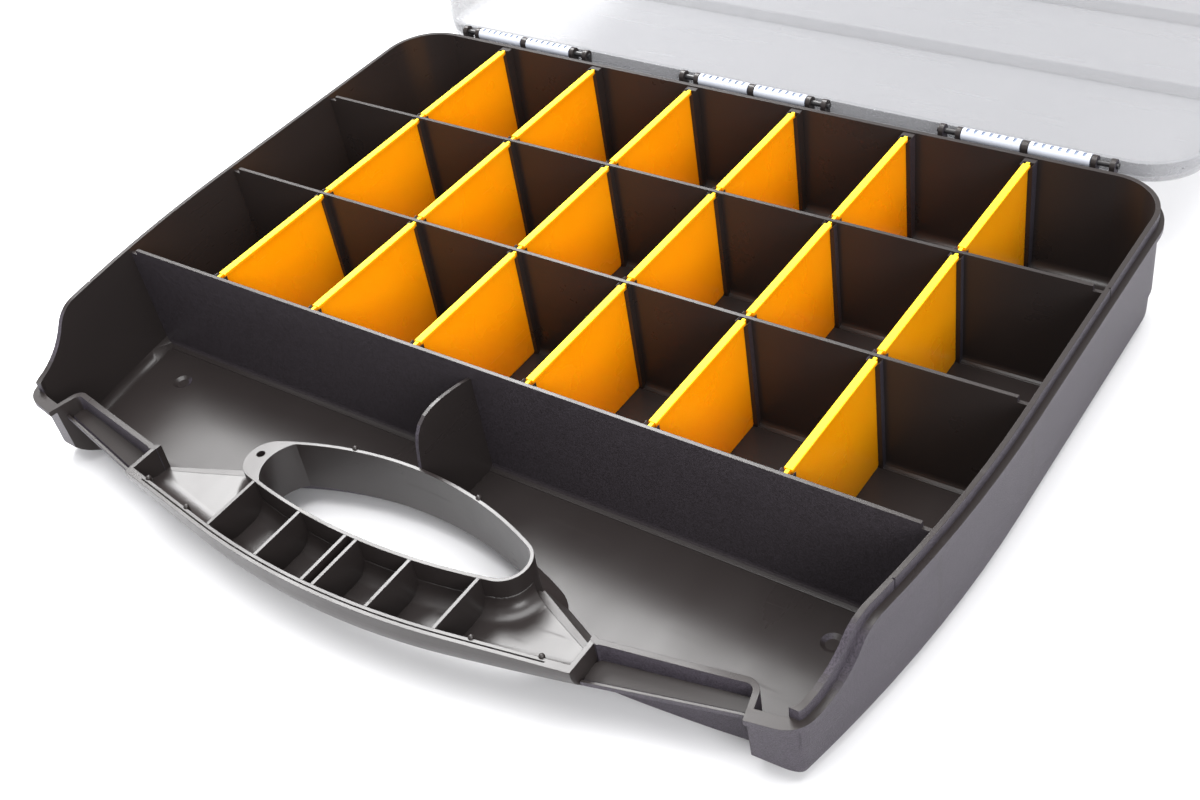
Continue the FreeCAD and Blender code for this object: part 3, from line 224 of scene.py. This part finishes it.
def black_plastic(name, textured, specular):
    """Satin, slightly wavy polypropylene. If textured, its outer walls have a fine grey grain."""
    nodes = Nodes(name)
    clouds = nodes.noise(scale=9.0, detail=4.0)
    flow = nodes.noise(scale=30.0, detail=5.0, roughness=0.6, stretch=(1.0, 0.25, 1.0))
    rubs = nodes.streaks(scale=240.0, stretch=(0.06, 1.0, 1.0), threshold=0.66)
    colour = nodes.mix_colours(clouds, SATIN_DARK, SATIN_LIGHT)
    rough = nodes.spread(flow, to_low=0.26, to_high=0.36)
    rough = nodes.math("ADD", rough, nodes.math("MULTIPLY", rubs, 0.10))
    edges = nodes.rounded_edges(EDGE_RADIUS)
    waves = nodes.bump(nodes.noise(scale=28.0, detail=2.0), distance=0.0005, strength=0.25, normal=edges)
    normal = nodes.bump(nodes.noise(scale=700.0, detail=2.0), distance=0.00004, strength=0.35, normal=waves)
    if textured:
        outside = outward_mask(nodes)
        sinks = sink_lines(nodes)
        speck = nodes.noise(scale=1500.0, detail=3.0, roughness=0.7)
        spots = nodes.mask(speck, low=0.35, high=0.65)
        outer = nodes.mix_colours(spots, TEXTURE_DARK, TEXTURE_LIGHT)
        # Painted shade: the outer grain is darkened towards the satin colour along the sink lines.
        outer = nodes.mix_colours(nodes.math("MULTIPLY", sinks, SINK_PAINTED_SHADE), outer, SATIN_LIGHT)
        colour = nodes.mix_colours(outside, colour, outer)
        rough = nodes.mix_numbers(outside, rough, nodes.spread(speck, to_low=0.44, to_high=0.60))
        grain_strength = nodes.math("MULTIPLY", outside, 0.8)
        grain = nodes.bump(speck, distance=0.0003, strength=grain_strength, normal=normal)
        sink_strength = nodes.math("MULTIPLY", outside, -0.9)
        normal = nodes.bump(sinks, distance=0.0006, strength=sink_strength, normal=grain)
    nodes.set(Base_Color=colour, Roughness=rough, Normal=normal, Specular_IOR_Level=specular)
    return nodes.material


def upward_painted_light_mask(nodes):
    """1 on faces that look up, which get a painted highlight for the light from above, and 0 elsewhere."""
    geometry = nodes.add("ShaderNodeNewGeometry")
    upward = nodes.split(geometry.outputs["True Normal"])["Z"]
    return nodes.mask(upward, low=0.5, high=0.9)


def yellow_plastic(name, tones):
    """Glossy coloured styrene that lets a little light through, with painted paler light on its upward
    faces.
    """
    nodes = Nodes(name)
    clouds = nodes.noise(scale=22.0, detail=3.0)
    scuffs = nodes.streaks(scale=500.0, stretch=(1.0, 0.07, 0.8), threshold=0.68)
    top = upward_painted_light_mask(nodes)
    # Painted light: upward faces get a paler yellow for the light falling on them from above.
    nodes.set(Base_Color=nodes.mix_colours(top, nodes.mix_colours(clouds, *tones), YELLOW_PAINTED_TOP_LIGHT))
    rough = nodes.spread(clouds, to_low=0.24, to_high=0.32)
    rough = nodes.math("ADD", rough, nodes.math("MULTIPLY", scuffs, 0.10))
    nodes.set(Roughness=nodes.mix_numbers(top, rough, EDGE_ROUGHNESS))
    nodes.set(Subsurface_Weight=0.25, Subsurface_Radius=(0.004, 0.002, 0.0005), Subsurface_Scale=0.5)
    edges = nodes.rounded_edges(EDGE_RADIUS)
    waves = nodes.bump(nodes.noise(scale=26.0, detail=2.0), distance=0.0003, strength=0.12, normal=edges)
    pores = nodes.noise(scale=900.0, detail=2.0)
    nodes.set(Normal=nodes.bump(pores, distance=0.00002, strength=0.2, normal=waves))
    return nodes.material


def notch_mask(nodes):
    """1 on the floors of the barrels' notches, which lie nearer to the hinge axis than the rest."""
    low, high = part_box("hinge_pin_centre")
    radius = (high.z - low.z) / 2
    outer = high.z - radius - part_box("hinge_barrel_centre_a")[0].z
    place = nodes.split(nodes.place)
    off_y = nodes.math("SUBTRACT", place["Y"], (low.y + high.y) / 2)
    off_z = nodes.math("SUBTRACT", place["Z"], (low.z + high.z) / 2)
    squares = nodes.math("ADD", nodes.math("POWER", off_y, 2.0), nodes.math("POWER", off_z, 2.0))
    return nodes.range(nodes.math("SQRT", squares), 0.88 * outer, 0.97 * outer, 1.0, 0.0)


def white_hinge_plastic():
    """White moulded barrels, with painted blue-grey shade in their notches."""
    nodes = Nodes("white_hinge_plastic")
    grime = nodes.noise(scale=160.0, detail=4.0)
    white = nodes.mix_colours(grime, *BARREL_TONES)
    # Painted shade: the notch floors get a blue-grey colour for the shade in these recesses.
    nodes.set(Base_Color=nodes.mix_colours(notch_mask(nodes), white, NOTCH_PAINTED_SHADE))
    nodes.set(Roughness=nodes.spread(grime, to_low=0.34, to_high=0.46))
    pores = nodes.noise(scale=1200.0, detail=2.0)
    edges = nodes.rounded_edges(EDGE_RADIUS)
    nodes.set(Normal=nodes.bump(pores, distance=0.00003, strength=0.4, normal=edges))
    return nodes.material


def dark_pin():
    """Drawn black bar with fine lines along it."""
    nodes = Nodes("dark_pin")
    lines = nodes.noise(scale=900.0, detail=3.0, stretch=(0.03, 1.0, 1.0))
    nodes.set(Base_Color=nodes.mix_colours(lines, *PIN_TONES))
    nodes.set(Roughness=nodes.spread(lines, to_low=0.22, to_high=0.38))
    nodes.set(Normal=nodes.bump(lines, distance=0.00005, strength=0.4))
    return nodes.material


def clear_lid_plastic(name, opacity):
    """Milky translucent moulding with a fine frosting on it."""
    nodes = Nodes(name)
    clouds = nodes.noise(scale=7.0, detail=3.0)
    frost = nodes.noise(scale=1500.0, detail=2.0)
    scratches = nodes.streaks(scale=300.0, stretch=(0.05, 1.0, 1.0), threshold=0.66)
    nodes.set(Base_Color=nodes.mix_colours(clouds, *LID_TONES))
    rough = nodes.spread(frost, to_low=0.20, to_high=0.28)
    rough = nodes.math("ADD", rough, nodes.math("MULTIPLY", scratches, 0.15))
    nodes.set(Roughness=rough, Alpha=opacity)
    edges = nodes.rounded_edges(EDGE_RADIUS)
    waves = nodes.bump(nodes.noise(scale=14.0, detail=2.0), distance=0.0006, strength=0.25, normal=edges)
    nodes.set(Normal=nodes.bump(frost, distance=0.00003, strength=0.3, normal=waves))
    return nodes.material


def floor_material():
    nodes = Nodes("pale_floor")
    nodes.set(Base_Color=FLOOR_TONE, Roughness=0.55, Specular_IOR_Level=0.3)
    return nodes.material


def dress_nodes():
    """Give every CAD node its slot's material, but the handle and the lid's ribs one of their own."""
    finishes = {
        "black_tray_plastic": black_plastic("black_tray_plastic", True, SATIN_SPECULAR),
        "yellow_divider_plastic": yellow_plastic("yellow_divider_plastic", DIVIDER_TONES),
        "white_hinge_plastic": white_hinge_plastic(),
        "dark_pin": dark_pin(),
        "clear_lid_plastic": clear_lid_plastic("clear_lid_plastic", LID_OPACITY),
        "yellow_latch_plastic": yellow_plastic("yellow_latch_plastic", LATCH_TONES),
    }
    handle = black_plastic("black_handle_plastic", False, HANDLE_SPECULAR)
    thin_lid = clear_lid_plastic("clear_rib_plastic", LID_RIB_OPACITY)
    for subpart in frame["record"]["subparts"]:
        name = subpart["node"]
        finish = finishes[subpart["material_slot"]]
        if name in ("carry_handle_trough", "finger_opening_frame") or name.startswith("grip_rib"):
            finish = handle
        if name.startswith("lid_rib"):
            finish = thin_lid
        piece = frame["nodes"][name]
        piece.data.materials.clear()
        piece.data.materials.append(finish)


# ---------------------------------------------------------------------------------------------
# Floor, light and camera


def make_floor():
    bpy.ops.mesh.primitive_circle_add(vertices=96, radius=FLOOR_RADIUS, fill_type="NGON")
    floor = bpy.context.object
    floor.name = "floor"
    floor.data.materials.append(floor_material())


def area_light(name, place, aim, size, power):
    data = bpy.data.lights.new(name, "AREA")
    data.shape = "RECTANGLE"
    data.size, data.size_y = size
    data.energy = power
    light = bpy.data.objects.new(name, data)
    light.location = place
    light.rotation_mode = "QUATERNION"
    light.rotation_quaternion = (Vector(aim) - Vector(place)).to_track_quat("-Z", "Y")
    bpy.context.scene.collection.objects.link(light)


def make_light():
    """A white surround, a key from the left and behind, a broad lamp overhead and a fill from the right."""
    world = bpy.data.worlds.new("surround")
    world.use_nodes = True
    world.node_tree.nodes["Background"].inputs["Color"].default_value = WHITE
    world.node_tree.nodes["Background"].inputs["Strength"].default_value = SURROUND_STRENGTH
    bpy.context.scene.world = world
    area_light("key", place=(-0.85, 0.70, 1.25), aim=MIDDLE, size=(0.9, 0.7), power=44.0)
    area_light("overhead", place=(0.1, -0.1, 1.9), aim=MIDDLE, size=(1.6, 1.2), power=44.0)
    area_light("fill", place=(1.3, -0.9, 0.9), aim=MIDDLE, size=(0.9, 0.7), power=20.0)


def make_camera():
    """The camera is aimed by its azimuth and elevation, and then rolled about its own axis."""
    level = math.cos(CAMERA_ELEVATION)
    back = Vector((
        math.sin(CAMERA_AZIMUTH) * level, -math.cos(CAMERA_AZIMUTH) * level, math.sin(CAMERA_ELEVATION),
    ))
    right = Vector((math.cos(CAMERA_AZIMUTH), math.sin(CAMERA_AZIMUTH), 0.0))
    up = back.cross(right)
    rolled_right = math.cos(CAMERA_ROLL) * right + math.sin(CAMERA_ROLL) * up
    rolled_up = -math.sin(CAMERA_ROLL) * right + math.cos(CAMERA_ROLL) * up
    data = bpy.data.cameras.new("camera")
    data.lens = CAMERA_LENS
    data.sensor_width = CAMERA_SENSOR
    data.clip_start = 0.01
    camera = bpy.data.objects.new("camera", data)
    turned = Matrix((rolled_right, rolled_up, back)).transposed()
    camera.matrix_world = Matrix.Translation(CAMERA_PLACE) @ turned.to_4x4()
    bpy.context.scene.collection.objects.link(camera)
    bpy.context.scene.camera = camera


dress_nodes()
make_floor()
make_light()
make_camera()
bpy.context.scene.view_settings.view_transform = "Standard"
